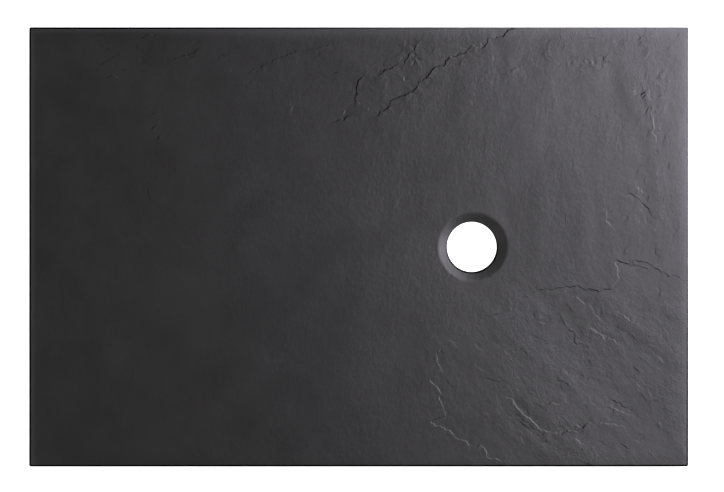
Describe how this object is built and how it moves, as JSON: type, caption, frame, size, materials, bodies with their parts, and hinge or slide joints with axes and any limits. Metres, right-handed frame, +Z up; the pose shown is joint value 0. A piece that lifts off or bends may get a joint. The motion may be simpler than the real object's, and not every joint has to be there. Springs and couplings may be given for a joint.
{
  "type": "shower tray",
  "caption": "Low rectangular shower tray with slate-effect gel coat, four flat falls to an off-centre round waste hole with a dished seat, and a honeycomb mineral-resin back.",
  "frame": {"origin": "middle of the underside, on the surface that the tray is bedded on", "axes": "+X along the tray towards the end beside the waste, +Y across the tray, +Z up out of the standing surface"},
  "size_m": [1.2, 0.8, 0.03],
  "materials": {
    "gel_coat": "satin",
    "mineral_casting": "matte",
    "glass_fibre_mat": "matte"
  },
  "bodies": {
    "root": {"gel_coat": "gel_coat", "mineral_casting": "mineral_casting", "glass_fibre_mat": "glass_fibre_mat"}
  },
  "joints": []
}
